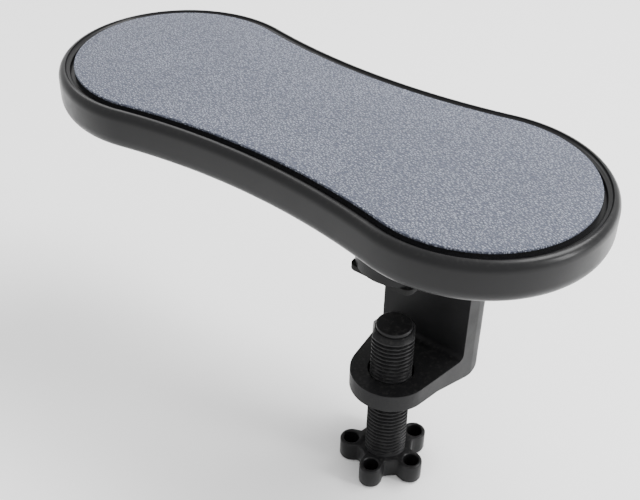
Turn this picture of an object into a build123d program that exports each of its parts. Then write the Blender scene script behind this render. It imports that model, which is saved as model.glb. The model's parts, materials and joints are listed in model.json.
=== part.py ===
"""Armrest pad that clamps to a chair's arm tube, built piece by piece.

Row frame, millimetres: the origin is on the underside of the upper jaw's rubber
pad, where the tube bears, on the axis of the clamp screw. +X runs along the pad,
+Y from the mouth of the clamp to its spine, +Z up.
"""

import os
from math import atan2, cos, sin

from build123d import *

os.makedirs("parts", exist_ok=True)

# Pad outline: two round lobes joined by a concave waist on each side.
LOBE_R = 52.4
LOBE_SPACING = 145.2
WAIST_HALF_WIDTH = 44.0
PAD_X = -54.0
PAD_Y = 16.5

# Heights in the pad, bottom to top.
TRAY_BOTTOM_Z = 22.5
DECK_BOTTOM_Z = 34.0
DECK_TOP_Z = 36.5
RIM_Z = 39.4
FOAM_TOP_Z = 39.1
LEATHER_TOP_Z = 40.0
TRAY_WALL = 6.5
RIM_WIDTH = 6.0
SHEET_INSET = 6.8
RIM_ROUND = 3.6
SKIRT_ROUND = 4.0

# Ribs under the deck, and the screws that hold the base plate up into the tray.
RIB_WIDTH = 1.6
RIB_BOTTOM_Z = 29.0
RIB_X = (-105, -75, -45)
RIB_LENGTH = 60.0
COVER_SCREW_SPOTS = [(-98, 22), (-98, -22), (-8, 32), (-8, -32), (98, 22), (98, -22)]
COVER_BOSS_R = 4.0
COVER_SCREW_R = 1.5
COVER_HEAD_R = 3.0
COVER_SCREW_TOP_Z = 32.0

# Base plate and its hub.
PLATE_THICKNESS = 3.0
PLATE_GAP = 0.2
PLATE_EDGE = 0.8
HUB_BOTTOM_Z = 13.6
HUB_TOP_R = 26.0
HUB_BOTTOM_R = 21.0
HUB_POCKET_R = 13.5
HUB_POCKET_Z = 17.5

# Pivot between the clamp and the pad.
PIVOT_X = 0.0
PIVOT_Y = PAD_Y
SHOULDER_R = 5.0
RUNNING_GAP = 0.05
THRUST_R = 17.0
WASHER_R = 11.0
WAVE_H = 1.0
WASHER_H = 1.6
BOLT_HEAD_R = 8.5
BOLT_HEAD_H = 5.0
BOLT_HEAD_ROUND = 1.5
BOLT_SOCKET_R = 3.6
BOLT_SOCKET_H = 3.0
BOLT_THREAD_R = 3.0
BOLT_END_Z = 3.2
NUT_R = 5.8
NUT_H = 5.0
NUT_GAP = 0.2

# Clamp frame: upper jaw, spine and lower jaw.
JAW_PAD_H = 2.5
JAW_PAD_WIDTH = 28.0
JAW_PAD_FRONT_Y = -14.0
JAW_PAD_BACK_Y = 19.8
UPPER_JAW_TOP_Z = 12.0
LOWER_JAW_TOP_Z = -53.7
LOWER_JAW_BOTTOM_Z = -61.9
JAW_HEEL_Y = 8.0
JAW_HEEL_Z = -68.0
JAW_NOSE_R = 17.0
SPINE_IN_Y = 23.0
SPINE_OUT_Y = 39.0
SPINE_WIDTH = 43.0
LOWER_CORNER_R = 11.0
UPPER_CORNER_R = 6.0
THROAT_R = 3.0
PLAN_CORNER_R = 7.0
JAW_EDGE = 1.0

# Screw, its pressure cap and its star knob.
SCREW_R = 9.5
SCREW_CHAMFER = 1.9
OPENING = 29.3
CAP_R = 7.4
CAP_H = 1.7
CAP_ROUND = 0.5
CAP_STEM_R = 3.0
CAP_STEM_H = 6.0
KNOB_TOP_Z = -97.0
KNOB_H = 9.8
KNOB_HUB_R = 12.2
KNOB_EDGE = 0.8
LOBE_COUNT = 5
LOBE_CIRCLE_R = 14.8
KNOB_LOBE_R = 4.9
LOBE_HOLE_R = 3.3
LOBE_HOLE_DEPTH = 7.5
LOBE_PHASE = 65.0
SPIGOT_R = 6.5
SPIGOT_WIDTH = 10.5
SPIGOT_H = 6.0
KNOB_WEB = 0.8
KNOB_SCREW_R = 2.0
KNOB_SCREW_H = 12.0
KNOB_WASHER_R = 5.0
KNOB_WASHER_H = 1.0
KNOB_HEAD_R = 3.8
KNOB_HEAD_H = 2.2
KNOB_HEAD_ROUND = 0.8


def save(part, name):
    """Label a finished piece and write it to its own file."""
    part.label = name
    export_step(part, f"parts/{name}.step")


def pad_outline(inset, height):
    """Sketch of the pad's outline, moved in by inset, at a height."""
    half_spacing = LOBE_SPACING / 2
    swell = LOBE_R - WAIST_HALF_WIDTH
    waist_centre = (half_spacing**2 - swell**2) / (2 * swell)
    turn = atan2(waist_centre, -half_spacing)
    lobe = LOBE_R - inset
    waist = WAIST_HALF_WIDTH - inset
    touch_x = half_spacing + lobe * cos(turn)
    touch_y = lobe * sin(turn)
    tip = half_spacing + lobe
    with BuildSketch(Plane(origin=(PAD_X, PAD_Y, height))) as outline:
        with BuildLine():
            ThreePointArc((touch_x, -touch_y), (tip, 0), (touch_x, touch_y))
            ThreePointArc((touch_x, touch_y), (0, waist), (-touch_x, touch_y))
            ThreePointArc((-touch_x, touch_y), (-tip, 0), (-touch_x, -touch_y))
            ThreePointArc((-touch_x, -touch_y), (0, -waist), (touch_x, -touch_y))
        make_face()
    return outline.sketch


def pivot_plane(height):
    """Plane at a height, centred on the pad's pivot."""
    return Plane(origin=(PIVOT_X, PIVOT_Y, height))


def pad_plane(height):
    """Plane at a height, centred on the middle of the pad."""
    return Plane(origin=(PAD_X, PAD_Y, height))


# Tray: a rounded rim around a deck, with a skirt, ribs and screw bosses below.
with BuildPart() as pad_tray:
    add(pad_outline(0, TRAY_BOTTOM_Z))
    extrude(amount=RIM_Z - TRAY_BOTTOM_Z)
    fillet(pad_tray.faces().sort_by(Axis.Z)[-1].edges(), RIM_ROUND)
    fillet(pad_tray.faces().sort_by(Axis.Z)[0].edges(), SKIRT_ROUND)
    add(pad_outline(RIM_WIDTH, DECK_TOP_Z))
    extrude(amount=RIM_Z - DECK_TOP_Z, mode=Mode.SUBTRACT)
    add(pad_outline(TRAY_WALL, TRAY_BOTTOM_Z))
    extrude(amount=DECK_BOTTOM_Z - TRAY_BOTTOM_Z, mode=Mode.SUBTRACT)
    with BuildSketch(pad_plane(TRAY_BOTTOM_Z + PLATE_THICKNESS)):
        with Locations(*COVER_SCREW_SPOTS):
            Circle(COVER_BOSS_R)
            Circle(COVER_SCREW_R, mode=Mode.SUBTRACT)
    extrude(amount=DECK_BOTTOM_Z - TRAY_BOTTOM_Z - PLATE_THICKNESS)
    with BuildSketch(pad_plane(RIB_BOTTOM_Z)):
        with Locations(*[(x, 0) for x in RIB_X]):
            Rectangle(RIB_WIDTH, RIB_LENGTH)
        with Locations((RIB_X[1], 0)):
            Rectangle(RIB_X[2] - RIB_X[0], RIB_WIDTH)
    extrude(amount=DECK_BOTTOM_Z - RIB_BOTTOM_Z)
save(pad_tray.part, "pad_tray")

# Foam sheet stuck to the deck, with the leather stuck on top of it.
with BuildPart() as foam_pad:
    add(pad_outline(SHEET_INSET, DECK_TOP_Z))
    extrude(amount=FOAM_TOP_Z - DECK_TOP_Z)
save(foam_pad.part, "foam_pad")

with BuildPart() as leather_cover:
    add(pad_outline(SHEET_INSET, FOAM_TOP_Z))
    extrude(amount=LEATHER_TOP_Z - FOAM_TOP_Z)
save(leather_cover.part, "leather_cover")

# Base plate: closes the tray from below and carries the swivel hub.
with BuildPart() as base_plate:
    add(pad_outline(TRAY_WALL + PLATE_GAP, TRAY_BOTTOM_Z))
    extrude(amount=PLATE_THICKNESS)
    chamfer(base_plate.faces().sort_by(Axis.Z)[0].edges(), PLATE_EDGE)
    with BuildSketch(pivot_plane(TRAY_BOTTOM_Z)):
        Circle(HUB_TOP_R)
    with BuildSketch(pivot_plane(HUB_BOTTOM_Z)):
        Circle(HUB_BOTTOM_R)
    loft()
    with BuildSketch(pivot_plane(HUB_POCKET_Z)):
        Circle(HUB_POCKET_R)
    extrude(amount=TRAY_BOTTOM_Z + PLATE_THICKNESS - HUB_POCKET_Z, mode=Mode.SUBTRACT)
    with BuildSketch(pivot_plane(HUB_BOTTOM_Z)):
        Circle(SHOULDER_R + RUNNING_GAP)
    extrude(amount=HUB_POCKET_Z - HUB_BOTTOM_Z, mode=Mode.SUBTRACT)
    with Locations(pad_plane(TRAY_BOTTOM_Z)):
        with Locations(*[Location((x, y, 0), (180, 0, 0)) for x, y in COVER_SCREW_SPOTS]):
            CounterSinkHole(COVER_SCREW_R, COVER_HEAD_R, PLATE_THICKNESS)
save(base_plate.part, "base_plate")

# Countersunk screws from below, one solid each.
with BuildPart() as cover_screws:
    with BuildSketch(pad_plane(TRAY_BOTTOM_Z)):
        with Locations(*COVER_SCREW_SPOTS):
            Circle(COVER_SCREW_R)
    extrude(amount=COVER_SCREW_TOP_Z - TRAY_BOTTOM_Z)
    head_height = COVER_HEAD_R - COVER_SCREW_R
    with Locations(pad_plane(TRAY_BOTTOM_Z + head_height / 2)):
        with Locations(*COVER_SCREW_SPOTS):
            Cone(COVER_HEAD_R, COVER_SCREW_R, head_height)
save(cover_screws.part, "cover_screws")

# Pivot stack: thrust washer on the jaw, then hub, wave washer, washer and bolt head.
with BuildPart() as thrust_washer:
    with BuildSketch(pivot_plane(UPPER_JAW_TOP_Z)):
        Circle(THRUST_R)
        Circle(SHOULDER_R + RUNNING_GAP, mode=Mode.SUBTRACT)
    extrude(amount=HUB_BOTTOM_Z - UPPER_JAW_TOP_Z - RUNNING_GAP)
save(thrust_washer.part, "thrust_washer")

wave_bottom_z = HUB_POCKET_Z + RUNNING_GAP
washer_bottom_z = wave_bottom_z + WAVE_H
head_bottom_z = washer_bottom_z + WASHER_H
with BuildPart() as wave_washer:
    with BuildSketch(pivot_plane(wave_bottom_z)):
        Circle(WASHER_R)
        Circle(SHOULDER_R + RUNNING_GAP, mode=Mode.SUBTRACT)
    extrude(amount=WAVE_H)
save(wave_washer.part, "wave_washer")

with BuildPart() as pivot_washer:
    with BuildSketch(pivot_plane(washer_bottom_z)):
        Circle(WASHER_R)
        Circle(SHOULDER_R + RUNNING_GAP, mode=Mode.SUBTRACT)
    extrude(amount=WASHER_H)
save(pivot_washer.part, "pivot_washer")

with BuildPart() as pivot_bolt:
    with BuildSketch(pivot_plane(BOLT_END_Z)):
        Circle(BOLT_THREAD_R)
    extrude(amount=UPPER_JAW_TOP_Z - BOLT_END_Z)
    with BuildSketch(pivot_plane(UPPER_JAW_TOP_Z)):
        Circle(SHOULDER_R)
    extrude(amount=head_bottom_z - UPPER_JAW_TOP_Z)
    with BuildSketch(pivot_plane(head_bottom_z)):
        Circle(BOLT_HEAD_R)
    extrude(amount=BOLT_HEAD_H)
    fillet(pivot_bolt.faces().sort_by(Axis.Z)[-1].edges(), BOLT_HEAD_ROUND)
    with BuildSketch(pivot_plane(head_bottom_z + BOLT_HEAD_H)):
        RegularPolygon(BOLT_SOCKET_R, 6)
    extrude(amount=-BOLT_SOCKET_H, mode=Mode.SUBTRACT)
save(pivot_bolt.part, "pivot_bolt")

nut_bottom_z = JAW_PAD_H + NUT_GAP
with BuildPart() as pivot_nut:
    with BuildSketch(pivot_plane(nut_bottom_z)):
        RegularPolygon(NUT_R, 6)
        Circle(BOLT_THREAD_R, mode=Mode.SUBTRACT)
    extrude(amount=NUT_H)
save(pivot_nut.part, "pivot_nut")

# Clamp frame: a block with a round nose, cut to a C with rounded corners. The lower
# jaw's underside slopes down to a deep heel at the spine.
frame_height = UPPER_JAW_TOP_Z - JAW_HEEL_Z
throat_height = JAW_PAD_H - LOWER_JAW_TOP_Z
side_length = SPINE_OUT_Y + 2 * JAW_NOSE_R
with BuildPart() as clamp_frame:
    with BuildSketch(Plane.XY.offset(JAW_HEEL_Z)):
        with Locations((0, (SPINE_IN_Y + SPINE_OUT_Y) / 2)):
            RectangleRounded(SPINE_WIDTH, SPINE_OUT_Y - SPINE_IN_Y, PLAN_CORNER_R)
        Circle(JAW_NOSE_R)
        make_hull()
    extrude(amount=frame_height)
    chamfer(clamp_frame.faces().sort_by(Axis.Z)[-1].edges(), JAW_EDGE)
    with BuildSketch(Plane.YZ):
        with BuildLine():
            Polyline(
                (SPINE_OUT_Y, UPPER_JAW_TOP_Z),
                (SPINE_OUT_Y - side_length, UPPER_JAW_TOP_Z),
                (SPINE_OUT_Y - side_length, LOWER_JAW_BOTTOM_Z),
                (JAW_HEEL_Y, LOWER_JAW_BOTTOM_Z),
                (SPINE_OUT_Y, JAW_HEEL_Z),
                close=True,
            )
        make_face()
        fillet(vertices().group_by(Axis.X)[-1].sort_by(Axis.Y)[0], LOWER_CORNER_R)
        fillet(vertices().group_by(Axis.X)[-1].sort_by(Axis.Y)[-1], UPPER_CORNER_R)
    extrude(amount=SPINE_WIDTH, both=True, mode=Mode.INTERSECT)
    with BuildSketch(Plane.YZ):
        with Locations((SPINE_IN_Y - side_length / 2, JAW_PAD_H - throat_height / 2)):
            RectangleRounded(side_length, throat_height, THROAT_R)
    extrude(amount=SPINE_WIDTH, both=True, mode=Mode.SUBTRACT)
    with BuildSketch(Plane.XY.offset(JAW_HEEL_Z)):
        Circle(SCREW_R + RUNNING_GAP)
    extrude(amount=LOWER_JAW_TOP_Z - JAW_HEEL_Z, mode=Mode.SUBTRACT)
    with BuildSketch(pivot_plane(JAW_PAD_H)):
        Circle(BOLT_THREAD_R)
    extrude(amount=UPPER_JAW_TOP_Z - JAW_PAD_H, mode=Mode.SUBTRACT)
    with BuildSketch(pivot_plane(JAW_PAD_H)):
        RegularPolygon(NUT_R + RUNNING_GAP, 6)
    extrude(amount=nut_bottom_z + NUT_H - JAW_PAD_H, mode=Mode.SUBTRACT)
save(clamp_frame.part, "clamp_frame")

# Rubber pad under the upper jaw, where the tube bears.
with BuildPart() as jaw_pad:
    with BuildSketch():
        with Locations((0, (JAW_PAD_FRONT_Y + JAW_PAD_BACK_Y) / 2)):
            RectangleRounded(JAW_PAD_WIDTH, JAW_PAD_BACK_Y - JAW_PAD_FRONT_Y, THROAT_R)
    extrude(amount=JAW_PAD_H)
save(jaw_pad.part, "jaw_pad")

# Pressure cap: a disc on a stem that stays still while the screw turns.
cap_bottom_z = -OPENING - CAP_H
with BuildPart() as pressure_cap:
    with BuildSketch(Plane.XY.offset(cap_bottom_z)):
        Circle(CAP_R)
    extrude(amount=CAP_H)
    fillet(pressure_cap.faces().sort_by(Axis.Z)[-1].edges(), CAP_ROUND)
    with BuildSketch(Plane.XY.offset(cap_bottom_z)):
        Circle(CAP_STEM_R)
    extrude(amount=-CAP_STEM_H)
save(pressure_cap.part, "pressure_cap")

# Clamp screw: crest cylinder, chamfered top with the cap's socket, flatted spigot.
screw_top_z = cap_bottom_z - RUNNING_GAP
with BuildPart() as clamp_screw:
    with BuildSketch(Plane.XY.offset(KNOB_TOP_Z)):
        Circle(SCREW_R)
    extrude(amount=screw_top_z - KNOB_TOP_Z)
    chamfer(clamp_screw.faces().sort_by(Axis.Z)[-1].edges(), SCREW_CHAMFER)
    with BuildSketch(Plane.XY.offset(screw_top_z)):
        Circle(CAP_STEM_R + RUNNING_GAP)
    extrude(amount=-CAP_STEM_H, mode=Mode.SUBTRACT)
    with BuildSketch(Plane.XY.offset(KNOB_TOP_Z)):
        Circle(SPIGOT_R)
        Rectangle(SPIGOT_WIDTH, 2 * SPIGOT_R, mode=Mode.INTERSECT)
    extrude(amount=-SPIGOT_H)
    with BuildSketch(Plane.XY.offset(KNOB_TOP_Z - SPIGOT_H)):
        Circle(KNOB_SCREW_R)
    extrude(amount=KNOB_SCREW_H, mode=Mode.SUBTRACT)
save(clamp_screw.part, "clamp_screw")

# Star knob: a hub with five lobes, each with a blind hole from above.
knob_bottom_z = KNOB_TOP_Z - KNOB_H
recess_top_z = KNOB_TOP_Z - SPIGOT_H - KNOB_WEB
with BuildPart() as star_knob:
    with BuildSketch(Plane.XY.offset(knob_bottom_z)):
        Circle(KNOB_HUB_R)
        with PolarLocations(LOBE_CIRCLE_R, LOBE_COUNT, start_angle=LOBE_PHASE):
            Circle(KNOB_LOBE_R)
    extrude(amount=KNOB_H)
    chamfer(star_knob.faces().sort_by(Axis.Z)[-1].edges(), KNOB_EDGE)
    chamfer(star_knob.faces().sort_by(Axis.Z)[0].edges(), KNOB_EDGE)
    with BuildSketch(Plane.XY.offset(KNOB_TOP_Z)):
        with PolarLocations(LOBE_CIRCLE_R, LOBE_COUNT, start_angle=LOBE_PHASE):
            Circle(LOBE_HOLE_R)
    extrude(amount=-LOBE_HOLE_DEPTH, mode=Mode.SUBTRACT)
    with BuildSketch(Plane.XY.offset(KNOB_TOP_Z)):
        Circle(SPIGOT_R)
        Rectangle(SPIGOT_WIDTH, 2 * SPIGOT_R, mode=Mode.INTERSECT)
    extrude(amount=-SPIGOT_H, mode=Mode.SUBTRACT)
    with BuildSketch(Plane.XY.offset(knob_bottom_z)):
        Circle(KNOB_SCREW_R)
    extrude(amount=KNOB_H, mode=Mode.SUBTRACT)
    with BuildSketch(Plane.XY.offset(knob_bottom_z)):
        Circle(KNOB_WASHER_R)
    extrude(amount=recess_top_z - knob_bottom_z, mode=Mode.SUBTRACT)
save(star_knob.part, "star_knob")

with BuildPart() as knob_washer:
    with BuildSketch(Plane.XY.offset(recess_top_z - KNOB_WASHER_H)):
        Circle(KNOB_WASHER_R - RUNNING_GAP)
        Circle(KNOB_SCREW_R, mode=Mode.SUBTRACT)
    extrude(amount=KNOB_WASHER_H)
save(knob_washer.part, "knob_washer")

with BuildPart() as knob_screw:
    with BuildSketch(Plane.XY.offset(recess_top_z - KNOB_WASHER_H)):
        Circle(KNOB_SCREW_R)
    extrude(amount=KNOB_SCREW_H)
    with BuildSketch(Plane.XY.offset(recess_top_z - KNOB_WASHER_H)):
        Circle(KNOB_HEAD_R)
    extrude(amount=-KNOB_HEAD_H)
    fillet(knob_screw.faces().sort_by(Axis.Z)[0].edges(), KNOB_HEAD_ROUND)
save(knob_screw.part, "knob_screw")
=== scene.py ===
"""Armrest pad on a screw clamp: the visible pieces and finishes built around the CAD frame.

Lengths are metres in the row frame: +X along the pad, +Y from the clamp's mouth to its
spine, +Z up. The origin is the clamp's seat on the tube, on the axis of the screw.
"""

import json
import logging
import math
from dataclasses import dataclass, field
from enum import Enum
from typing import Callable, Iterable, Optional, Sequence, Union

import bmesh
import bpy
from mathutils import Matrix, Vector

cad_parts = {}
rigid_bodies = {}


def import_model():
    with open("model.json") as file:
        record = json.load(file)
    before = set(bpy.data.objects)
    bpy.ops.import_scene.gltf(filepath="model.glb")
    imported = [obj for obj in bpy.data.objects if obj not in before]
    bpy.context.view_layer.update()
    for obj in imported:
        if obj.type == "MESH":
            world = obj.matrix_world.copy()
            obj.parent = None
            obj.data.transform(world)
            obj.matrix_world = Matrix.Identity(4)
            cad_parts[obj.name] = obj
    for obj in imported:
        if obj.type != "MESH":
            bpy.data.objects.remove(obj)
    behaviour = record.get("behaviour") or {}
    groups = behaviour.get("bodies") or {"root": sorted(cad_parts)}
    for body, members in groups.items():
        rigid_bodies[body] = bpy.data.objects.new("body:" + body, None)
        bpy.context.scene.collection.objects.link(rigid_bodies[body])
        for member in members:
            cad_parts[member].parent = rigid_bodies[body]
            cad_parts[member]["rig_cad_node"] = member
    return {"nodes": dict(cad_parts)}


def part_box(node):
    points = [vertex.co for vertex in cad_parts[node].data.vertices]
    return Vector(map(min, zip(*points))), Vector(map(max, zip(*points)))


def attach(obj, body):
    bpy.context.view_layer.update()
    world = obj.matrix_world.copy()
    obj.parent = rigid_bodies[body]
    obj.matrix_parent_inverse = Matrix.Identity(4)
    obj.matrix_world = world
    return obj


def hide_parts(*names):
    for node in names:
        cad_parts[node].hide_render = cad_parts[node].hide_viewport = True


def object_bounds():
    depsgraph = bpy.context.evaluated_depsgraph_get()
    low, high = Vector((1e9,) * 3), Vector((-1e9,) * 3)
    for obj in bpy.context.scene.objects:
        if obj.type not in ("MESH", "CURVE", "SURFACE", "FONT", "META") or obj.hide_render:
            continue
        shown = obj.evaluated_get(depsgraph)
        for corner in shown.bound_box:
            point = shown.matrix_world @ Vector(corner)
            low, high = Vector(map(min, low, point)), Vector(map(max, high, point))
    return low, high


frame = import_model()
CAD_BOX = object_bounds()

LOG = logging.getLogger("armrest_pad")
MM = 0.001
Point = tuple[float, float, float]
Ring = list[Point]
Spot = tuple[float, float]
Colour = tuple[float, float, float]
Socket = bpy.types.NodeSocket
Value = Union[float, Socket]
Tint = Union[Colour, Socket]


class Body(Enum):
    """The CAD bodies that the pieces ride on."""

    CLAMP = "clamp"
    PAD = "pad"
    CAP = "cap"
    SCREW = "screw"


class Cap(Enum):
    """How the end of a lofted piece is closed."""

    OPEN = "open"
    FACE = "face"
    SEAM = "seam"


class Lamp(Enum):
    """Kinds of studio lamp, by what they do for the object."""

    KEY = "key"
    FILL = "fill"
    RIM = "rim"


# ---------------------------------------------------------------- shader graphs


class Graph:
    """A node tree with short calls to add and link nodes."""

    def __init__(self, tree: bpy.types.NodeTree) -> None:
        """Wrap a node tree.

        Args:
            tree: The material's or group's node tree.
        """
        self.tree = tree

    def node(self, kind: str, inputs: Optional[dict] = None, **settings: object) -> bpy.types.Node:
        """Add one node and set it up.

        Args:
            kind: The node's type, without its "ShaderNode" prefix.
            inputs: Values or output sockets for named or numbered inputs.
            **settings: Properties of the node itself.

        Returns:
            The new node.
        """
        made = self.tree.nodes.new("ShaderNode" + kind)
        for name, value in settings.items():
            setattr(made, name, value)
        self.feed(made, inputs or {})
        return made

    def feed(self, node: bpy.types.Node, inputs: dict) -> None:
        """Set a node's inputs to values, or link them to sockets.

        Args:
            node: The node to feed.
            inputs: Values or output sockets for named or numbered inputs.
        """
        for key, value in inputs.items():
            if isinstance(value, Socket):
                self.tree.links.new(value, node.inputs[key])
            else:
                node.inputs[key].default_value = value

    def math(self, operation: str, first: Value, second: Value = 0.0, clamp: bool = False) -> Socket:
        """Add a Math node.

        Args:
            operation: The operation's name.
            first: A value or a socket.
            second: A value or a socket.
            clamp: Whether the result is kept from 0 to 1.

        Returns:
            The node's output socket.
        """
        made = self.node("Math", {0: first, 1: second}, operation=operation, use_clamp=clamp)
        return made.outputs[0]

    def span(
        self, value: Socket, low: float, high: float, to_low: float = 0.0, to_high: float = 1.0
    ) -> Socket:
        """Map a value smoothly from one range to another.

        Args:
            value: The socket to map.
            low: Value that becomes to_low.
            high: Value that becomes to_high.
            to_low: Result at low.
            to_high: Result at high.

        Returns:
            The mapped value's socket.
        """
        made = self.node(
            "MapRange",
            {"Value": value, 1: low, 2: high, 3: to_low, 4: to_high},
            interpolation_type="SMOOTHSTEP",
        )
        return made.outputs[0]

    def blend(self, share: Value, first: Tint, second: Tint) -> Socket:
        """Mix two colours by a share from 0 to 1.

        Args:
            share: The second colour's share, a value or a socket.
            first: First colour, as a value or a socket.
            second: Second colour, as a value or a socket.

        Returns:
            The mixed colour's socket.
        """
        made = self.node("Mix", {0: share}, data_type="RGBA")
        for key, value in ((6, first), (7, second)):
            self.feed(made, {key: value if isinstance(value, Socket) else (*value, 1.0)})
        return made.outputs[2]

    def place(self) -> Socket:
        """Return the surface point in the piece's own coordinates."""
        return self.node("TexCoord").outputs["Object"]

    def noise(
        self, scale: Value, detail: float = 3.0, vector: Optional[Socket] = None, rough: float = 0.55
    ) -> Socket:
        """Add a Noise texture over the surface.

        Args:
            scale: Features per metre, a value or a socket.
            detail: Octaves of detail.
            vector: Coordinates to read, the surface point if left out.
            rough: How strong the finer octaves are.

        Returns:
            The noise value's socket, from 0 to 1.
        """
        inputs = {"Vector": vector or self.place(), "Scale": scale, "Detail": detail, "Roughness": rough}
        return self.node("TexNoise", inputs).outputs[0]

    def cells(self, scale: Value, vector: Optional[Socket] = None, feature: str = "F1") -> Socket:
        """Add a Voronoi texture over the surface.

        Args:
            scale: Cells per metre, a value or a socket.
            vector: Coordinates to read, the surface point if left out.
            feature: The distance it gives: to the centre, smoothed, or to the edge.

        Returns:
            The distance's socket.
        """
        inputs = {"Vector": vector or self.place(), "Scale": scale}
        return self.node("TexVoronoi", inputs, feature=feature).outputs["Distance"]


class Effects:
    """Node groups shared by the finishes, each built once."""

    made: dict[str, bpy.types.NodeTree] = {}

    @classmethod
    def group(
        cls,
        name: str,
        inputs: dict[str, float],
        outputs: Sequence[str],
        fill: Callable[[Graph, bpy.types.Node], dict],
    ) -> bpy.types.NodeTree:
        """Build a node group, or return the one already built.

        Args:
            name: The group's name.
            inputs: Float inputs and their default values.
            outputs: Names of the float outputs.
            fill: Makes the inside and returns a socket for each output.

        Returns:
            The group's node tree.
        """
        if name in cls.made:
            return cls.made[name]
        tree = bpy.data.node_groups.new(name, "ShaderNodeTree")
        for key, value in inputs.items():
            socket = tree.interface.new_socket(name=key, in_out="INPUT", socket_type="NodeSocketFloat")
            socket.default_value = value
        for key in outputs:
            tree.interface.new_socket(name=key, in_out="OUTPUT", socket_type="NodeSocketFloat")
        graph = Graph(tree)
        entry = tree.nodes.new("NodeGroupInput")
        leave = tree.nodes.new("NodeGroupOutput")
        for key, socket in fill(graph, entry).items():
            tree.links.new(socket, leave.inputs[key])
        cls.made[name] = tree
        return tree

    @classmethod
    def moulded_grain(cls) -> bpy.types.NodeTree:
        """Return the group for the fine texture of a moulded surface.

        Returns:
            A group with Scale in, and Height and Tone out.
        """

        def fill(graph: Graph, entry: bpy.types.Node) -> dict:
            """Build the grain's inside."""
            scale = entry.outputs["Scale"]
            pits = graph.cells(scale)
            fine = graph.noise(scale, detail=4.0)
            broad = graph.noise(graph.math("MULTIPLY", scale, 0.02), detail=2.0)
            height = graph.math("ADD", graph.math("MULTIPLY", pits, 0.5), fine)
            return {"Height": height, "Tone": graph.span(broad, low=0.3, high=0.7)}

        return cls.group("moulded_grain", {"Scale": 1200.0}, ("Height", "Tone"), fill)

    @classmethod
    def worn_edges(cls) -> bpy.types.NodeTree:
        """Return the group that finds rubbed edges.

        Returns:
            A group with Amount in and Mask out.
        """

        def fill(graph: Graph, entry: bpy.types.Node) -> dict:
            """Build the wear's inside."""
            sharp = graph.node("NewGeometry").outputs["Pointiness"]
            edge = graph.span(sharp, low=0.52, high=0.60)
            patchy = graph.span(graph.noise(scale=260.0, detail=5.0), low=0.42, high=0.66)
            rubbed = graph.math("MULTIPLY", edge, patchy)
            return {"Mask": graph.math("MULTIPLY", rubbed, entry.outputs["Amount"], clamp=True)}

        return cls.group("worn_edges", {"Amount": 0.5}, ("Mask",), fill)

    @classmethod
    def settled_dust(cls) -> bpy.types.NodeTree:
        """Return the group for the thin dust on faces that look up.

        Returns:
            A group with Amount in and Mask out.
        """

        def fill(graph: Graph, entry: bpy.types.Node) -> dict:
            """Build the dust's inside."""
            normal = graph.node("NewGeometry").outputs["Normal"]
            upward = graph.node("SeparateXYZ", {0: normal}).outputs[2]
            flat = graph.span(upward, low=0.35, high=0.95)
            specks = graph.span(graph.noise(scale=700.0, detail=6.0), low=0.48, high=0.75)
            lying = graph.math("MULTIPLY", flat, specks)
            return {"Mask": graph.math("MULTIPLY", lying, entry.outputs["Amount"], clamp=True)}

        return cls.group("settled_dust", {"Amount": 0.1}, ("Mask",), fill)


# -------------------------------------------------------------------- finishes

HOUSE_DUST: Colour = (0.34, 0.33, 0.31)
BARE_EDGE: Colour = (0.8, 0.8, 0.8)


def scaled(colour: Colour, share: float) -> Colour:
    """Return a colour with each part multiplied by the share."""
    return tuple(share * part for part in colour)


@dataclass(frozen=True)
class Finish:
    """A surface finish; each kind fills in its own shader."""

    name: str
    slot: str

    def shade(self, graph: Graph, shader: bpy.types.Node) -> None:
        """Set up the shader. Every kind of finish has its own."""
        raise NotImplementedError

    def material(self) -> bpy.types.Material:
        """Return this finish's material, made on first use.

        Returns:
            The material, with its Principled shader linked to the output.
        """
        found = bpy.data.materials.get(self.name)
        if found:
            return found
        made = bpy.data.materials.new(self.name)
        made.use_nodes = True
        made.node_tree.nodes.clear()
        graph = Graph(made.node_tree)
        shader = graph.node("BsdfPrincipled")
        end = graph.node("OutputMaterial")
        made.node_tree.links.new(shader.outputs[0], end.inputs["Surface"])
        self.shade(graph, shader)
        return made

    def dress(self, piece: bpy.types.Object) -> None:
        """Put this finish on a piece, in every one of its material slots.

        Args:
            piece: The object to dress.
        """
        piece.data.materials.clear()
        piece.data.materials.append(self.material())
        for slot in piece.material_slots:
            slot.material = self.material()


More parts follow.
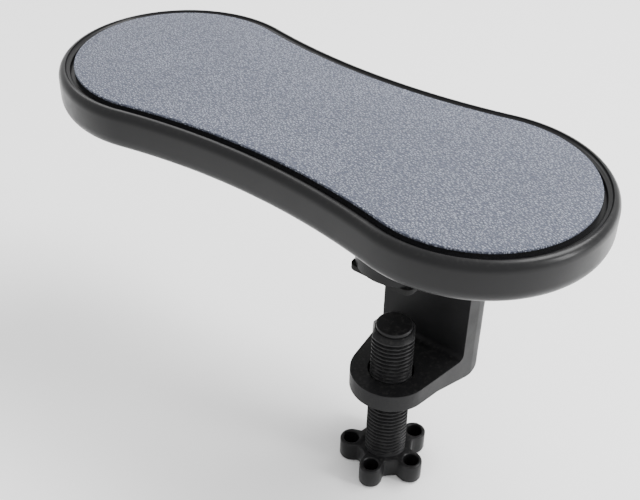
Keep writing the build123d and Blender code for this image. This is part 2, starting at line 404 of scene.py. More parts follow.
@dataclass(frozen=True)
class MouldedPlastic(Finish):
    """Dark moulded plastic with a fine grain, rubbed edges and a little dust."""

    colour: Colour
    roughness: float
    grain_per_m: float
    grain_depth: float
    wear: float
    dust: float
    gloss_coat: float = 0.0
    wave_depth: float = 0.0
    shine: float = 0.15

    def shade(self, graph: Graph, shader: bpy.types.Node) -> None:
        """Fill in the shader.

        Args:
            graph: The material's graph.
            shader: Its Principled shader.
        """
        grain = graph.node("Group", {"Scale": self.grain_per_m}, node_tree=Effects.moulded_grain())
        worn = graph.node("Group", {"Amount": self.wear}, node_tree=Effects.worn_edges())
        dust = graph.node("Group", {"Amount": self.dust}, node_tree=Effects.settled_dust())
        rubbed = tuple(min(1.0, 2.2 * part + 0.02) for part in self.colour)
        toned = graph.blend(grain.outputs["Tone"], scaled(self.colour, 0.82), self.colour)
        edged = graph.blend(worn.outputs["Mask"], toned, rubbed)
        dusted = graph.blend(dust.outputs["Mask"], edged, HOUSE_DUST)
        smudges = graph.noise(scale=90.0, detail=5.0)
        smooth, dull = self.roughness - 0.05, self.roughness + 0.06
        streaks = graph.span(smudges, low=0.3, high=0.75, to_low=smooth, to_high=dull)
        rough = graph.math("ADD", streaks, graph.math("MULTIPLY", dust.outputs["Mask"], 0.4), clamp=True)
        height = graph.math("MULTIPLY", grain.outputs["Height"], self.grain_depth)
        swell = graph.math("MULTIPLY", graph.noise(scale=45.0, detail=1.0), self.wave_depth)
        relief = graph.math("ADD", height, swell)
        bump = graph.node("Bump", {"Height": relief, "Distance": MM, "Strength": 1.0})
        graph.feed(shader, {"Base Color": dusted, "Roughness": rough, "Normal": bump.outputs[0]})
        graph.feed(shader, {"Specular IOR Level": self.shine, "Coat Weight": self.gloss_coat})
        graph.feed(shader, {"Coat Roughness": 0.16})


@dataclass(frozen=True)
class PebbledLeather(Finish):
    """Blue-grey coated leather with a fine pebble, creases darkened with painted shade, and a soft sheen.
    """

    colour: Colour = (0.345, 0.37, 0.44)
    # Painted shade: a dark colour laid into the grooves between pebbles, in place of the shade that falls
    # in the creases.
    crease_shade: Colour = (0.06, 0.068, 0.10)
    dust_colour: Colour = (0.45, 0.46, 0.48)
    dust: float = 0.02
    pebble_per_m: float = 780.0
    pebble_height: float = 0.6
    pebble_turn: float = 0.7
    pebble_stretch: float = 1.9
    wander_m: float = 0.0016

    def bent_place(self, graph: Graph) -> Socket:
        """Return the surface point, turned, stretched and pushed about, so that no pebble is round.

        Args:
            graph: The material's graph.

        Returns:
            The coordinates' socket.
        """
        turn, stretch = (0.0, 0.0, self.pebble_turn), (1.0, self.pebble_stretch, 1.0)
        turned = graph.node("Mapping", {"Vector": graph.place(), "Rotation": turn, "Scale": stretch})
        wander = graph.node("TexNoise", {"Vector": turned.outputs[0], "Scale": 330.0, "Detail": 3.0})
        halves = {0: wander.outputs["Color"], 1: (0.5, 0.5, 0.5)}
        shift = graph.node("VectorMath", halves, operation="SUBTRACT")
        small = graph.node("VectorMath", {0: shift.outputs[0], "Scale": self.wander_m}, operation="SCALE")
        moved = graph.node("VectorMath", {0: turned.outputs[0], 1: small.outputs[0]}, operation="ADD")
        return moved.outputs[0]

    def shade(self, graph: Graph, shader: bpy.types.Node) -> None:
        """Fill in the shader.

        Args:
            graph: The material's graph.
            shader: Its Principled shader.
        """
        bent = self.bent_place(graph)
        pebbles = graph.cells(self.pebble_per_m, bent, feature="SMOOTH_F1")
        edges = graph.cells(self.pebble_per_m, bent, feature="DISTANCE_TO_EDGE")
        dome = graph.span(pebbles, low=0.05, high=0.75, to_low=1.0, to_high=0.0)
        groove = graph.span(edges, low=0.02, high=0.30)
        fine = graph.noise(scale=3600.0, detail=4.0)
        height = graph.math("ADD", graph.math("MULTIPLY", dome, 0.55), graph.math("MULTIPLY", groove, 0.45))
        height = graph.math("ADD", height, graph.math("MULTIPLY", fine, 0.12))
        patches = graph.span(graph.noise(scale=28.0, detail=4.0), low=0.3, high=0.7)
        clouded = graph.blend(patches, scaled(self.colour, 0.90), scaled(self.colour, 1.06))
        # Painted shade: the grooves between pebbles take the dark crease colour, which darkens the creases
        # as shade would.
        toned = graph.blend(graph.math("MULTIPLY", groove, dome), self.crease_shade, clouded)
        dust = graph.node("Group", {"Amount": self.dust}, node_tree=Effects.settled_dust())
        dusted = graph.blend(dust.outputs["Mask"], toned, self.dust_colour)
        rough = graph.span(groove, low=0.0, high=1.0, to_low=0.62, to_high=0.42)
        bump = graph.node("Bump", {"Height": height, "Distance": self.pebble_height * MM, "Strength": 1.0})
        graph.feed(shader, {"Base Color": dusted, "Roughness": rough, "Normal": bump.outputs[0]})
        graph.feed(shader, {"Specular IOR Level": 0.4, "Sheen Weight": 0.03, "Sheen Roughness": 0.5})


@dataclass(frozen=True)
class ClosedFoam(Finish):
    """Black closed-cell foam, cut at its edge so that the cells show."""

    colour: Colour = (0.006, 0.006, 0.007)
    cells_per_m: float = 2600.0
    cell_depth: float = 0.2

    def shade(self, graph: Graph, shader: bpy.types.Node) -> None:
        """Fill in the shader.

        Args:
            graph: The material's graph.
            shader: Its Principled shader.
        """
        cells = graph.cells(self.cells_per_m)
        open_cell = graph.span(cells, low=0.1, high=0.6)
        colour = graph.blend(open_cell, scaled(self.colour, 0.4), scaled(self.colour, 2.0))
        bump = graph.node("Bump", {"Height": cells, "Distance": self.cell_depth * MM, "Strength": 0.8})
        graph.feed(shader, {"Base Color": colour, "Normal": bump.outputs[0]})
        graph.feed(shader, {"Roughness": 0.92, "Specular IOR Level": 0.2})


@dataclass(frozen=True)
class PlatedSteel(Finish):
    """Zinc-plated or tempered steel with turning marks and fingerprints."""

    colour: Colour = (0.55, 0.56, 0.57)
    roughness: float = 0.32
    wear: float = 0.6
    mark_depth: float = 0.02

    def shade(self, graph: Graph, shader: bpy.types.Node) -> None:
        """Fill in the shader.

        Args:
            graph: The material's graph.
            shader: Its Principled shader.
        """
        squeezed = graph.node("Mapping", {"Vector": graph.place(), "Scale": (1.0, 1.0, 14.0)})
        marks = graph.noise(scale=420.0, detail=5.0, vector=squeezed.outputs[0])
        prints = graph.span(graph.noise(scale=120.0, detail=4.0), low=0.35, high=0.7)
        worn = graph.node("Group", {"Amount": self.wear}, node_tree=Effects.worn_edges())
        tinted = graph.blend(prints, scaled(self.colour, 0.8), self.colour)
        bright = graph.blend(worn.outputs["Mask"], tinted, BARE_EDGE)
        smooth, dull = self.roughness - 0.08, self.roughness + 0.12
        rough = graph.span(marks, low=0.3, high=0.7, to_low=smooth, to_high=dull)
        bump = graph.node("Bump", {"Height": marks, "Distance": self.mark_depth * MM, "Strength": 0.6})
        graph.feed(shader, {"Base Color": bright, "Roughness": rough, "Normal": bump.outputs[0]})
        graph.feed(shader, {"Metallic": 1.0})


LEATHER = PebbledLeather("blue_grey_leather", "pebbled_leather")
FOAM = ClosedFoam("black_foam_edge", "black_foam")
TRAY = MouldedPlastic(
    "glossy_tray", "tray_plastic", colour=(0.008, 0.008, 0.0085), roughness=0.34,
    grain_per_m=900.0, grain_depth=0.006, wear=0.30, dust=0.02, gloss_coat=0.10, wave_depth=0.10,
)
PLATE = MouldedPlastic(
    "textured_plate", "plate_plastic", colour=(0.018, 0.018, 0.019), roughness=0.55,
    grain_per_m=1500.0, grain_depth=0.05, wear=0.3, dust=0.0,
)
CLAMP = MouldedPlastic(
    "filled_nylon", "clamp_plastic", colour=(0.009, 0.009, 0.0095), roughness=0.44,
    grain_per_m=1700.0, grain_depth=0.035, wear=0.5, dust=0.04,
)
SCREW = MouldedPlastic(
    "screw_nylon", "screw_plastic", colour=(0.009, 0.009, 0.0095), roughness=0.40,
    grain_per_m=2200.0, grain_depth=0.02, wear=0.5, dust=0.05,
)
KNOB = MouldedPlastic(
    "knob_nylon", "knob_plastic", colour=(0.008, 0.008, 0.0085), roughness=0.36,
    grain_per_m=1900.0, grain_depth=0.02, wear=0.5, dust=0.05,
)
CAP = MouldedPlastic(
    "cap_nylon", "cap_plastic", colour=(0.010, 0.010, 0.0105), roughness=0.38,
    grain_per_m=2600.0, grain_depth=0.02, wear=0.5, dust=0.05,
)
RUBBER = MouldedPlastic(
    "jaw_rubber_black", "jaw_rubber", colour=(0.014, 0.014, 0.014), roughness=0.78,
    grain_per_m=2400.0, grain_depth=0.05, wear=0.2, dust=0.05,
)
NYLON = MouldedPlastic(
    "natural_nylon", "nylon", colour=(0.66, 0.64, 0.58), roughness=0.42,
    grain_per_m=1600.0, grain_depth=0.015, wear=0.2, dust=0.05,
)
ZINC = PlatedSteel("zinc_plate", "zinc_steel")
SPRING = PlatedSteel("spring_temper", "spring_steel", colour=(0.36, 0.35, 0.33), roughness=0.38)


# ----------------------------------------------------------------- mesh making


def face_piece(name: str, mesh: bmesh.types.BMesh, sharp_deg: float = 38.0) -> bpy.types.Object:
    """Turn a bmesh into a smooth-shaded object with outward faces.

    Args:
        name: The piece's name.
        mesh: The bmesh, freed here.
        sharp_deg: Edges bent more than this stay sharp.

    Returns:
        The new object, linked to the scene.
    """
    bmesh.ops.recalc_face_normals(mesh, faces=mesh.faces)
    data = bpy.data.meshes.new(name)
    mesh.to_mesh(data)
    mesh.free()
    data.shade_smooth()
    data.set_sharp_from_angle(angle=math.radians(sharp_deg))
    piece = bpy.data.objects.new(name, data)
    bpy.context.scene.collection.objects.link(piece)
    return piece


def loft(mesh: bmesh.types.BMesh, rings: Iterable[Ring], start: Cap, end: Cap) -> None:
    """Skin a row of closed rings that have the same number of points.

    Args:
        mesh: The bmesh to add to.
        rings: The rings, in order.
        start: How the first ring is closed.
        end: How the last ring is closed.
    """
    rows = [[mesh.verts.new(p) for p in ring] for ring in rings]
    count = len(rows[0])
    for low, high in zip(rows, rows[1:]):
        for i in range(count):
            j = (i + 1) % count
            mesh.faces.new((low[i], low[j], high[j], high[i]))
    seams = []
    for row, cap in ((rows[0], start), (rows[-1], end)):
        if cap is Cap.FACE:
            mesh.faces.new(row)
        if cap is Cap.SEAM:
            seams.extend(row)
    if seams:
        bmesh.ops.remove_doubles(mesh, verts=seams, dist=0.01 * MM)


def circle(radius: float, z: float, count: int, x: float = 0.0, y: float = 0.0) -> Ring:
    """Return a level circle of points.

    Args:
        radius: The circle's radius.
        z: Its height.
        count: How many points.
        x: Centre in X.
        y: Centre in Y.

    Returns:
        The points, anticlockwise from above.
    """
    turns = [2 * math.pi * i / count for i in range(count)]
    return [(x + radius * math.cos(t), y + radius * math.sin(t), z) for t in turns]


def quarter(start: Spot, end: Spot, upright_first: bool, steps: int) -> list[Spot]:
    """Return points of a quarter ellipse between two profile points.

    Args:
        start: First (inset, height) point.
        end: Last (inset, height) point.
        upright_first: Whether the curve leaves the start upright rather than level.
        steps: How many points, both ends included.

    Returns:
        A list of (inset, height) points.
    """
    points = []
    for i in range(steps):
        t = math.pi / 2 * i / (steps - 1)
        along, across = (1 - math.cos(t), math.sin(t)) if upright_first else (math.sin(t), 1 - math.cos(t))
        points.append((start[0] + (end[0] - start[0]) * along, start[1] + (end[1] - start[1]) * across))
    return points


def refine_casting(node: str, edge: float, finish: Finish, sharp_deg: float = 30.0) -> bpy.types.Object:
    """Give a CAD node soft edges, smooth shading and a finish, without moving a point of it.

    Args:
        node: The CAD node's name.
        edge: Width of the small round on its edges.
        finish: What it is dressed in.
        sharp_deg: Edges bent more than this are rounded.

    Returns:
        The CAD node's object.
    """
    piece = frame["nodes"][node]
    weld = piece.modifiers.new("weld", "WELD")
    weld.merge_threshold = 0.002 * MM
    flat = piece.modifiers.new("flat", "DECIMATE")
    flat.decimate_type = "DISSOLVE"
    flat.angle_limit = math.radians(0.6)
    bevel = piece.modifiers.new("soft_edges", "BEVEL")
    bevel.width = edge
    bevel.segments = 3
    bevel.limit_method = "ANGLE"
    bevel.angle_limit = math.radians(sharp_deg)
    bevel.harden_normals = False
    normals = piece.modifiers.new("normals", "WEIGHTED_NORMAL")
    normals.keep_sharp = True
    piece.data.shade_smooth()
    finish.dress(piece)
    return piece


# --------------------------------------------------------------------- the pad


@dataclass
class PadOutline:
    """The pad's plan: two round lobes joined by concave sides, and its offsets.

    The first four fields drive the rest. A waist arc has the radius hollow, and its centre is
    reach away from the long axis. A lobe meets the waist at the angle turn.
    """

    lobe_radius: float = 52.4 * MM
    lobe_spacing: float = 145.2 * MM
    waist_half: float = 44.0 * MM
    count: int = 288
    centre: Vector = field(init=False)
    half: float = field(init=False)
    reach: float = field(init=False)
    turn: float = field(init=False)
    hollow: float = field(init=False)
    lobe_arc: float = field(init=False)
    waist_arc: float = field(init=False)
    points: list[tuple[Vector, Vector]] = field(init=False)

    def __post_init__(self) -> None:
        """Place the outline on the CAD tray and sample it evenly."""
        low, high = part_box("pad_tray")
        self.centre = Vector(((low.x + high.x) / 2, (low.y + high.y) / 2))
        self.half = self.lobe_spacing / 2
        swell = self.lobe_radius - self.waist_half
        self.reach = (self.half**2 - swell**2) / (2 * swell)
        self.turn = math.atan2(self.reach, -self.half)
        self.hollow = self.reach - self.waist_half
        self.lobe_arc = 2 * self.turn * self.lobe_radius
        self.waist_arc = 2 * (math.pi / 2 - math.atan2(self.reach, self.half)) * self.hollow
        whole = 2 * (self.lobe_arc + self.waist_arc)
        self.points = [self._sample(whole * i / self.count) for i in range(self.count)]

    def _sample(self, way: float) -> tuple[Vector, Vector]:
        """Return the point and inward normal at a distance along the outline.

        Args:
            way: Distance from the right tip, anticlockwise.

        Returns:
            The point and the unit vector that leads inwards from it.
        """
        half_turns, way = divmod(way + self.lobe_arc / 2, self.lobe_arc + self.waist_arc)
        flip = -1.0 if half_turns % 2 else 1.0
        if way <= self.lobe_arc:
            angle = -self.turn + way / self.lobe_radius
            outward = Vector((math.cos(angle), math.sin(angle)))
            point = Vector((self.half, 0.0)) + outward * self.lobe_radius
            return point * flip, -outward * flip
        spread = self.waist_arc / self.hollow
        angle = -math.pi / 2 + spread / 2 - (way - self.lobe_arc) / self.hollow
        inward = Vector((math.cos(angle), math.sin(angle)))
        point = Vector((0.0, self.reach)) + inward * self.hollow
        return point * flip, inward * flip

    def ring(self, inset: float, z: float) -> Ring:
        """Return the outline moved inwards, at a height.

        Args:
            inset: How far inwards.
            z: The height.

        Returns:
            The ring's points in the row frame.
        """
        spots = [self.centre + p + n * inset for p, n in self.points]
        return [(s.x, s.y, z) for s in spots]

    def towards_middle(self, inset: float, z: float, steps: int) -> list[Ring]:
        """Return rings that run from an offset outline to the pad's long middle line.

        Args:
            inset: Offset of the first ring.
            z: The height.
            steps: How many rings follow the first.

        Returns:
            The rings, the last one folded onto the middle line.
        """
        squeeze = self.half / (self.half + self.lobe_radius - inset)
        rings = []
        for k in range(steps + 1):
            share = k / steps
            ring = []
            for p, n in self.points:
                edge = p + n * inset
                spot = edge.lerp(Vector((edge.x * squeeze, 0.0)), share) + self.centre
                ring.append((spot.x, spot.y, z))
            rings.append(ring)
        return rings


@dataclass
class ForearmPad:
    """The pad that turns on the clamp: leather, foam, tray, base plate and its screws."""

    outline: PadOutline
    rim_width: float = 5.2 * MM
    rim_crest: float = 3.1 * MM
    rim_drop: float = 4.2 * MM
    ledge_width: float = 0.9 * MM
    ledge_depth: float = 1.3 * MM
    skirt_inset: float = 3.6 * MM
    skirt_rise: float = 5.5 * MM
    wall: float = 6.5 * MM
    deck_thickness: float = 2.5 * MM
    sheet_inset: float = 6.8 * MM
    leather_thickness: float = 0.9 * MM
    crown: float = 1.1 * MM
    droop: float = 0.12 * MM
    inner_rings: int = 14
    settle_frames: int = 20
    foam_tuck: float = 0.1 * MM
    foam_hollow: float = 0.25 * MM

    def build(self) -> list[bpy.types.Object]:
        """Build and dress every piece of the pad.

        Returns:
            The visible pieces.
        """
        leather = self.leather_sheet()
        foam = self.foam_sheet()
        tray = self.tray()
        for piece, node, finish in (
            (leather, "leather_cover", LEATHER),
            (foam, "foam_pad", FOAM),
            (tray, "pad_tray", TRAY),
        ):
            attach(piece, Body.PAD.value)
            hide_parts(node)
            finish.dress(piece)
        plate = refine_casting("base_plate", 0.3 * MM, PLATE)
        screws = refine_casting("cover_screws", 0.15 * MM, ZINC)
        self.declare_soft()
        return [leather, foam, tray, plate, screws]

    def declare_soft(self) -> None:
        cut = [(p + n * self.sheet_inset) for p, n in self.outline.points]
        pairs = zip(cut, cut[1:] + cut[:1])
        area = abs(sum(a.x * b.y - b.x * a.y for a, b in pairs)) / 2

    def crown_heights(self, rings: list[Ring]) -> list[list[float]]:
        """Return how far the sheet rises over each ring, by blowing it up as cloth.

        Args:
            rings: The sheet's flat rings, from its edge to the middle line.

        Returns:
            The rise of each point of each ring.
        """
        count = len(rings[0])
        mesh = bmesh.new()
        loft(mesh, rings, Cap.OPEN, Cap.SEAM)
        bmesh.ops.recalc_face_normals(mesh, faces=mesh.faces)
        if sum(f.normal.z for f in mesh.faces) < 0:
            bmesh.ops.reverse_faces(mesh, faces=mesh.faces)
        data = bpy.data.meshes.new("sheet_trial")
        mesh.to_mesh(data)
        mesh.free()
        trial = bpy.data.objects.new("sheet_trial", data)
        bpy.context.scene.collection.objects.link(trial)
        pinned = trial.vertex_groups.new(name="stuck_edge")
        pinned.add(list(range(count)), 1.0, "REPLACE")
        cloth = trial.modifiers.new("cloth", "CLOTH")
        cloth.settings.vertex_group_mass = pinned.name
        cloth.settings.mass = 0.2
        cloth.settings.tension_stiffness = 20
        cloth.settings.bending_stiffness = 1.0
        cloth.settings.use_pressure = True
        cloth.settings.uniform_pressure_force = 4.0
        cloth.settings.effector_weights.gravity = 0
        cloth.point_cache.frame_start = 1
        cloth.point_cache.frame_end = self.settle_frames
        for step in range(1, self.settle_frames + 1):
            bpy.context.scene.frame_set(step)
        blown = trial.evaluated_get(bpy.context.evaluated_depsgraph_get()).to_mesh()
        spots = [(v.co.x, v.co.y, v.co.z) for v in blown.vertices]
        flat = rings[0][0][2]
        top = max(s[2] for s in spots) - flat
        scale = min(self.crown, top) / top if top > 1e-7 else 0.0
        LOG.info("leather sheet swelled %.2f mm before the cap", top / MM)
        rises = []
        for k, ring in enumerate(rings[:-1]):
            rises.append([(spots[k * count + i][2] - flat) * scale for i in range(count)])
        rises.append([max(rises[-1][i], rises[-1][-i]) for i in range(count)])
        bpy.context.scene.frame_set(1)
        bpy.data.objects.remove(trial)
        return rises

    def leather_sheet(self) -> bpy.types.Object:
        """Build the leather sheet: crowned top, rounded cut edge, underside on the foam.

        Returns:
            The leather piece.
        """
        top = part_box("leather_cover")[1].z
        under = top - self.leather_thickness
        edge_round = 0.3 * MM
        flat = self.outline.towards_middle(self.sheet_inset + edge_round, top, self.inner_rings)
        rises = self.crown_heights(flat)
        crowned = [
            [(x, y, z - self.droop * (1 - share) ** 6 + rise) for (x, y, z), rise in zip(ring, row)]
            for share, ring, row in zip([k / self.inner_rings for k in range(len(flat))], flat, rises)
        ]
        lip = top - self.droop
        side = [
            self.outline.ring(self.sheet_inset + i, lip - d)
            for i, d in quarter((edge_round, 0.0), (0.0, edge_round), False, 4)[1:]
        ]
        bottom = self.outline.towards_middle(self.sheet_inset, under - self.droop, 3)
        mesh = bmesh.new()
        loft(mesh, list(reversed(crowned)) + side + bottom, Cap.SEAM, Cap.SEAM)
        return face_piece("leather_sheet", mesh, 60.0)

    def foam_sheet(self) -> bpy.types.Object:
        """Build the foam sheet, whose cut edge is squeezed a little below the leather.

        Returns:
            The foam piece.
        """
        low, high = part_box("foam_pad")
        lid = high.z - self.droop
        start = self.sheet_inset + self.foam_tuck
        rows = 7
        side = []
        for k in range(rows):
            share = k / (rows - 1)
            inset = start + self.foam_hollow * math.sin(math.pi * share)
            side.append(self.outline.ring(inset, low.z + (lid - low.z) * share))
        bottom = self.outline.towards_middle(start, low.z, 3)[1:]
        top = self.outline.towards_middle(start, lid, 3)[1:]
        mesh = bmesh.new()
        loft(mesh, list(reversed(bottom)) + side + top, Cap.SEAM, Cap.SEAM)
        return face_piece("foam_sheet", mesh, 50.0)

    def tray(self) -> bpy.types.Object:
        """Build the moulded tray: deck, raised rim, rounded wall and open underside.

        Returns:
            The tray piece.
        """
        low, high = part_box("pad_tray")
        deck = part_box("foam_pad")[0].z
        lip = 0.5 * MM
        ledge = high.z - self.ledge_depth
        step = self.rim_width - self.ledge_width
        rim = [
            *quarter((self.rim_width, ledge - lip), (self.rim_width - lip, ledge), True, 4),
            *quarter((step, ledge), (self.rim_crest, high.z), False, 6),
        ]
        brow = quarter((self.rim_crest, high.z), (0.0, high.z - self.rim_drop), False, 14)[1:]
        skirt = quarter((0.0, low.z + self.skirt_rise), (self.skirt_inset, low.z), True, 12)
        foot = quarter((self.wall - lip, low.z), (self.wall, low.z + lip), False, 4)
        profile = [(self.rim_width, deck), *rim, *brow, *skirt, *foot]
        under = deck - self.deck_thickness
        rings = [self.outline.ring(inset, z) for inset, z in profile]
        top = self.outline.towards_middle(self.rim_width, deck, 4)[1:]
        inside = self.outline.towards_middle(self.wall, under, 4)
        mesh = bmesh.new()
        loft(mesh, list(reversed(top)) + rings + inside, Cap.SEAM, Cap.SEAM)
        return face_piece("moulded_tray", mesh, 50.0)


# ------------------------------------------------------------------- the clamp


@dataclass
class ScrewClamp:
    """The fixed half of the clamp and the pivot stack on top of it."""

    frame_edge: float = 0.5 * MM
    small_edge: float = 0.25 * MM

    def build(self) -> list[bpy.types.Object]:
        """Dress the clamp's CAD castings.

        Returns:
            The visible pieces.
        """
        dressed = [refine_casting("clamp_frame", self.frame_edge, CLAMP)]
        for node, finish in (
            ("jaw_pad", RUBBER),
            ("thrust_washer", NYLON),
            ("wave_washer", SPRING),
            ("pivot_washer", ZINC),
            ("pivot_bolt", ZINC),
            ("pivot_nut", ZINC),
        ):
            dressed.append(refine_casting(node, self.small_edge, finish))
        return dressed


@dataclass
class ThreadedScrew:
    """The moulded screw: a helical thread cut by two flats, its cap and its star knob."""

    pitch: float = 2.0 * MM
    thread_depth: float = 1.05 * MM
    flat_half: float = 8.55 * MM
    flat_turn_deg: float = 32.0
    plain_length: float = 2.2 * MM
    chamfer: float = 1.9 * MM
    around: int = 120
    steps_per_turn: int = 10
    lobe_count: int = 5
    lobe_circle: float = 14.8 * MM
    lobe_radius: float = 4.9 * MM
    lobe_phase_deg: float = 65.0
    hub_radius: float = 11.6 * MM
    hole_radius: float = 3.3 * MM
    hole_depth: float = 7.5 * MM
    knob_edge: float = 0.9 * MM
    knob_around: int = 240
    lobe_blend: float = 1.1 * MM
    run_out_pitches: float = 0.4
    tip_round: float = 0.25 * MM
    tip_drop: float = 0.1 * MM
    spigot_inset: float = 3.2 * MM
    spigot_length: float = 4.0 * MM

    def build(self) -> list[bpy.types.Object]:
        """Build and dress the turning pieces and the cap.

        Returns:
            The visible pieces.
        """
        shank = self.shank()
        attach(shank, Body.SCREW.value)
        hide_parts("clamp_screw")
        SCREW.dress(shank)
        knob = self.knob()
        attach(knob, Body.SCREW.value)
        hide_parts("star_knob")
        KNOB.dress(knob)
        cap = refine_casting("pressure_cap", 0.2 * MM, CAP)
        rest = [refine_casting(node, 0.15 * MM, ZINC) for node in ("knob_washer", "knob_screw")]
        return [shank, knob, cap, *rest]

    def thread_form(self, share: float) -> float:
        """Return the thread's height over one pitch: root, flank, crest, flank.

        Args:
            share: Place within the pitch, from 0 to 1.

        Returns:
            Height over the root, from 0 to 1.
        """
        wave = 0.5 - 0.5 * math.cos(2 * math.pi * share)
        return min(1.0, max(0.0, 1.5 * wave - 0.22))

    def shank(self) -> bpy.types.Object:
        """Build the screw's shank with a real helix between its plain ends.

        Returns:
            The shank piece.
        """
        low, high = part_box("clamp_screw")
        crest = (high.x - low.x) / 2
        knob_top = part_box("star_knob")[1].z
        start, stop = knob_top, high.z - self.chamfer
        rows = int((stop - start) / self.pitch * self.steps_per_turn)
        yaw = math.radians(self.flat_turn_deg)
        rings = []
        for k in range(rows + 1):
            z = start + (stop - start) * k / rows
            run_in = (z - start) / self.plain_length
            run_out = (stop - z) / (self.run_out_pitches * self.pitch)
            fade = min(1.0, run_in, run_out)
            ring = []
            for i in range(self.around):
                angle = 2 * math.pi * i / self.around
                share = (z / self.pitch - angle / (2 * math.pi)) % 1.0
                radius = crest - self.thread_depth * (1 - self.thread_form(share)) * max(0.0, fade)
                across = radius * math.cos(angle - yaw)
                along = radius * math.sin(angle - yaw)
                across = max(-self.flat_half, min(self.flat_half, across))
                x = across * math.cos(yaw) - along * math.sin(yaw)
                y = across * math.sin(yaw) + along * math.cos(yaw)
                ring.append((x, y, z))
            rings.append(ring)
        tip = crest - self.chamfer
        flat_top = circle(tip, high.z, self.around)
        softened = circle(tip + self.tip_round, high.z - self.tip_drop, self.around)
        foot = circle(crest - self.spigot_inset, start - self.spigot_length, self.around)
        neck = circle(crest - self.spigot_inset, start, self.around)
        mesh = bmesh.new()
        loft(mesh, [foot, neck, *rings, softened, flat_top], Cap.FACE, Cap.FACE)
        return face_piece("threaded_shank", mesh, 42.0)

    def lobe_centres(self) -> list[Spot]:
        """Return where each lobe's centre lies in plan."""
        phase = math.radians(self.lobe_phase_deg)
        turns = [phase + 2 * math.pi * k / self.lobe_count for k in range(self.lobe_count)]
        return [(self.lobe_circle * math.cos(t), self.lobe_circle * math.sin(t)) for t in turns]

    def star_radius(self, angle: float) -> float:
        """Return the star's outline radius in a direction, lobes blended into the hub.

        Args:
            angle: Direction, in radians.

        Returns:
            The radius.
        """
        soft = self.lobe_blend
        centres = self.lobe_centres()

        def outside(radius: float) -> float:
            """Return the smooth distance outside the star."""
            x, y = radius * math.cos(angle), radius * math.sin(angle)
            gaps = [radius - self.hub_radius]
            for cx, cy in centres:
                gaps.append(math.hypot(x - cx, y - cy) - self.lobe_radius)
            return -soft * math.log(sum(math.exp(-gap / soft) for gap in gaps))

        low, high = 0.6 * self.hub_radius, self.lobe_circle + 2 * self.lobe_radius
        for _ in range(40):
            middle = (low + high) / 2
            if outside(middle) > 0:
                high = middle
            else:
                low = middle
        return low

    def knob(self) -> bpy.types.Object:
        """Build the star knob, with a blind hole in each lobe.

        Returns:
            The knob piece.
        """
        low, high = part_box("star_knob")
        turns = [2 * math.pi * i / self.knob_around for i in range(self.knob_around)]
        radii = [self.star_radius(t) for t in turns]
        scale = min(1.0, (self.lobe_circle + self.lobe_radius) / max(radii))
        edge = self.knob_edge
        profile = [
            *quarter((edge, low.z), (0.0, low.z + edge), False, 5),
            *quarter((0.0, high.z - edge), (edge, high.z), True, 5),
        ]
        rings = []
        for inset, z in profile:
            ring = []
            for t, r in zip(turns, radii):
                radius = r * scale - inset
                ring.append((radius * math.cos(t), radius * math.sin(t), z))
            rings.append(ring)
        mesh = bmesh.new()
        loft(mesh, rings, Cap.FACE, Cap.FACE)
        piece = face_piece("five_lobe_knob", mesh, 40.0)
        for x, y in self.lobe_centres():
            self.bore(piece, x, y, high.z)
        piece.data.set_sharp_from_angle(angle=math.radians(40.0))
        return piece

    def bore(self, piece: bpy.types.Object, x: float, y: float, top: float) -> None:
        """Cut one blind hole with a small countersink into the knob.

        Args:
            piece: The knob.
            x: The hole's centre in X.
            y: The hole's centre in Y.
            top: Height of the knob's top face.
        """
        lead = 0.4 * MM
        steps = [
            (self.hole_radius - lead, top - self.hole_depth),
            (self.hole_radius, top - self.hole_depth + lead),
            (self.hole_radius, top - lead),
            (self.hole_radius + 2 * lead, top + lead),
        ]
        mesh = bmesh.new()
        loft(mesh, [circle(r, z, 48, x, y) for r, z in steps], Cap.FACE, Cap.FACE)
        cutter = face_piece("cutter", mesh)
        cut = piece.modifiers.new("hole", "BOOLEAN")
        cut.operation = "DIFFERENCE"
        cut.object = cutter
        cut.solver = "EXACT"
        evaluated = piece.evaluated_get(bpy.context.evaluated_depsgraph_get())
        drilled = bpy.data.meshes.new_from_object(evaluated)
        piece.modifiers.clear()
        old = piece.data
        piece.data = drilled
        bpy.data.meshes.remove(old)
        bpy.data.objects.remove(cutter)


# ------------------------------------------------------------------ the studio


@dataclass(frozen=True)
class SoftBox:
    """A rectangular studio lamp aimed at a point."""

    kind: Lamp
    place: Point
    aim: Point
    size: tuple[float, float]
    watts: float
    colour: Colour = (1.0, 1.0, 1.0)

    def build(self) -> bpy.types.Object:
        """Make the lamp.

        Returns:
            The lamp's object.
        """
        data = bpy.data.lights.new(f"{self.kind.value}_box", "AREA")
        data.shape = "RECTANGLE"
        data.size, data.size_y = self.size
        data.energy = self.watts
        data.color = self.colour
        lamp = bpy.data.objects.new(data.name, data)
        lamp.location = self.place
        lamp.rotation_euler = (Vector(self.aim) - Vector(self.place)).to_track_quat("-Z", "Y").to_euler()
        bpy.context.scene.collection.objects.link(lamp)
        return lamp


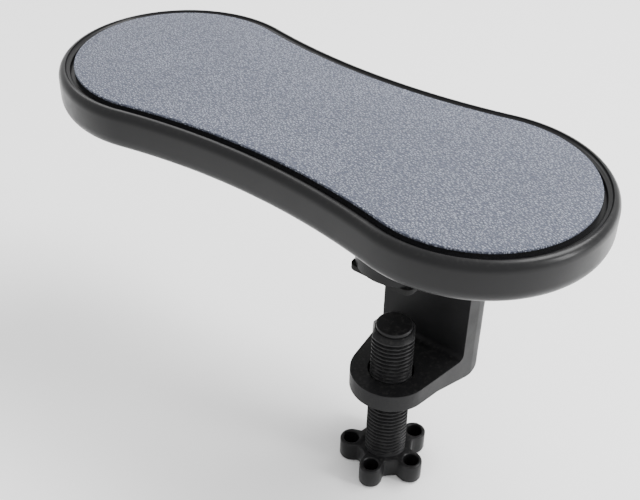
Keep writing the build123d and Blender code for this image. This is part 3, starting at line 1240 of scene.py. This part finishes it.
@dataclass
class Studio:
    """Pale floor, soft light and the camera."""

    azimuth_deg: float = 37.24
    elevation_deg: float = 36.88
    roll_deg: float = 1.33
    distance: float = 342.4 * MM
    lens_mm: float = 59.1
    aim_from_pad: Point = (56.1 * MM, -69.4 * MM, -1.2 * MM)
    floor_gap: float = 0.5 * MM
    floor_size: float = 4.0
    room_light: float = 1.25

    def build(self) -> None:
        """Make the floor, the world, the lamps and the camera."""
        self.floor()
        self.world()
        for box in self.lamps():
            box.build()
        self.camera()

    def pad_top(self) -> Vector:
        """Return the middle of the pad's top face."""
        low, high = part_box("leather_cover")
        return Vector(((low.x + high.x) / 2, (low.y + high.y) / 2, high.z))

    def floor(self) -> None:
        """Lay a wide pale floor just under the object's lowest point."""
        lowest = CAD_BOX[0].z - self.floor_gap
        half = self.floor_size / 2
        mesh = bmesh.new()
        corners = [(-half, -half), (half, -half), (half, half), (-half, half)]
        mesh.faces.new([mesh.verts.new((x, y, lowest)) for x, y in corners])
        data = bpy.data.meshes.new("studio_floor")
        mesh.to_mesh(data)
        mesh.free()
        floor = bpy.data.objects.new("studio_floor", data)
        bpy.context.scene.collection.objects.link(floor)
        paint = bpy.data.materials.new("pale_paper")
        paint.use_nodes = True
        shader = paint.node_tree.nodes["Principled BSDF"]
        shader.inputs["Base Color"].default_value = (0.97, 0.97, 0.97, 1.0)
        shader.inputs["Roughness"].default_value = 0.9
        data.materials.append(paint)

    def world(self) -> None:
        """Fill the room with even pale light."""
        world = bpy.data.worlds.new("pale_room")
        world.use_nodes = True
        back = world.node_tree.nodes["Background"]
        back.inputs[0].default_value = (1.0, 1.0, 1.0, 1.0)
        back.inputs[1].default_value = self.room_light
        bpy.context.scene.world = world

    def lamps(self) -> list[SoftBox]:
        """Return the studio's lamps."""
        aim = tuple(self.pad_top())
        return [
            SoftBox(Lamp.KEY, (0.40, 0.60, 1.10), aim, (0.8, 0.6), 26.0),
            SoftBox(Lamp.FILL, (-0.9, 0.3, 0.9), aim, (0.5, 0.5), 5.0),
            SoftBox(Lamp.RIM, (1.0, 0.25, 0.40), aim, (0.25, 0.5), 9.0),
        ]

    def camera(self) -> None:
        """Aim the camera at the pad from its near left side."""
        data = bpy.data.cameras.new("studio_camera")
        data.lens = self.lens_mm
        data.sensor_width = 36.0
        data.clip_start = 0.01
        camera = bpy.data.objects.new("studio_camera", data)
        around, above = math.radians(self.azimuth_deg), math.radians(self.elevation_deg)
        back = Vector(
            (math.sin(around) * math.cos(above), -math.cos(around) * math.cos(above), math.sin(above))
        )
        camera.location = self.pad_top() + Vector(self.aim_from_pad) + back * self.distance
        spin = Matrix.Rotation(math.radians(self.roll_deg), 4, "Z")
        camera.rotation_euler = ((-back).to_track_quat("-Z", "Y").to_matrix().to_4x4() @ spin).to_euler()
        bpy.context.scene.collection.objects.link(camera)
        bpy.context.scene.camera = camera


def main() -> None:
    """Build every sub-assembly in order and report its pieces."""
    logging.basicConfig(level=logging.INFO, format="%(message)s")
    Studio().build()
    for assembly in (ForearmPad(PadOutline()), ScrewClamp(), ThreadedScrew()):
        for piece in assembly.build():
            LOG.info("%s: %s, %d faces", type(assembly).__name__, piece.name, len(piece.data.polygons))


if __name__ == "__main__":
    main()
